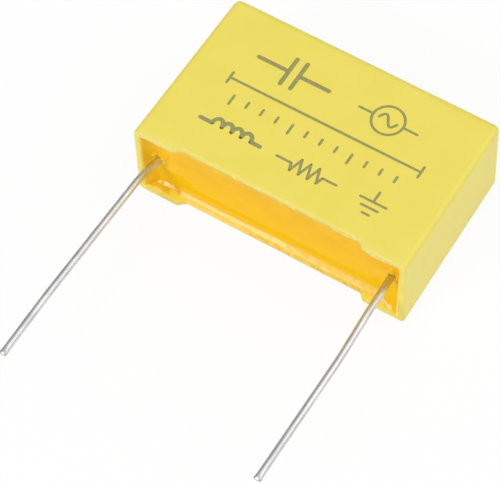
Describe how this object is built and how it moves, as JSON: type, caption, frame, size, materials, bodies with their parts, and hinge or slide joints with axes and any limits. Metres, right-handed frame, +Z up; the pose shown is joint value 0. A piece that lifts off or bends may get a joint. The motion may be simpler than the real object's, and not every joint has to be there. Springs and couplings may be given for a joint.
{
  "type": "film capacitor",
  "caption": "Flat yellow box film capacitor with stand-off feet round a resin-filled open end and long straight round wire leads.",
  "frame": {"origin": "centre of the broad side that it lies on", "axes": "+X along the case's length, from the left lead to the right one; +Y towards the closed end, away from the leads' tips; +Z up through the thickness"},
  "size_m": [0.032, 0.046, 0.0108],
  "materials": {
    "case_plastic": "satin moulded plastic, pale yellow",
    "resin": "glossy cast epoxy, orange-yellow",
    "metallised_film": "wound clear film with a bright metal coating",
    "sprayed_metal": "rough grey sprayed zinc",
    "tinned_wire": "bright tin plating, drawn"
  },
  "bodies": {
    "root": {"case": "case_plastic", "epoxy_fill": "resin", "film_winding": "metallised_film", "end_contact_left": "sprayed_metal", "end_contact_right": "sprayed_metal", "lead_left": "tinned_wire", "lead_right": "tinned_wire"}
  },
  "joints": []
}
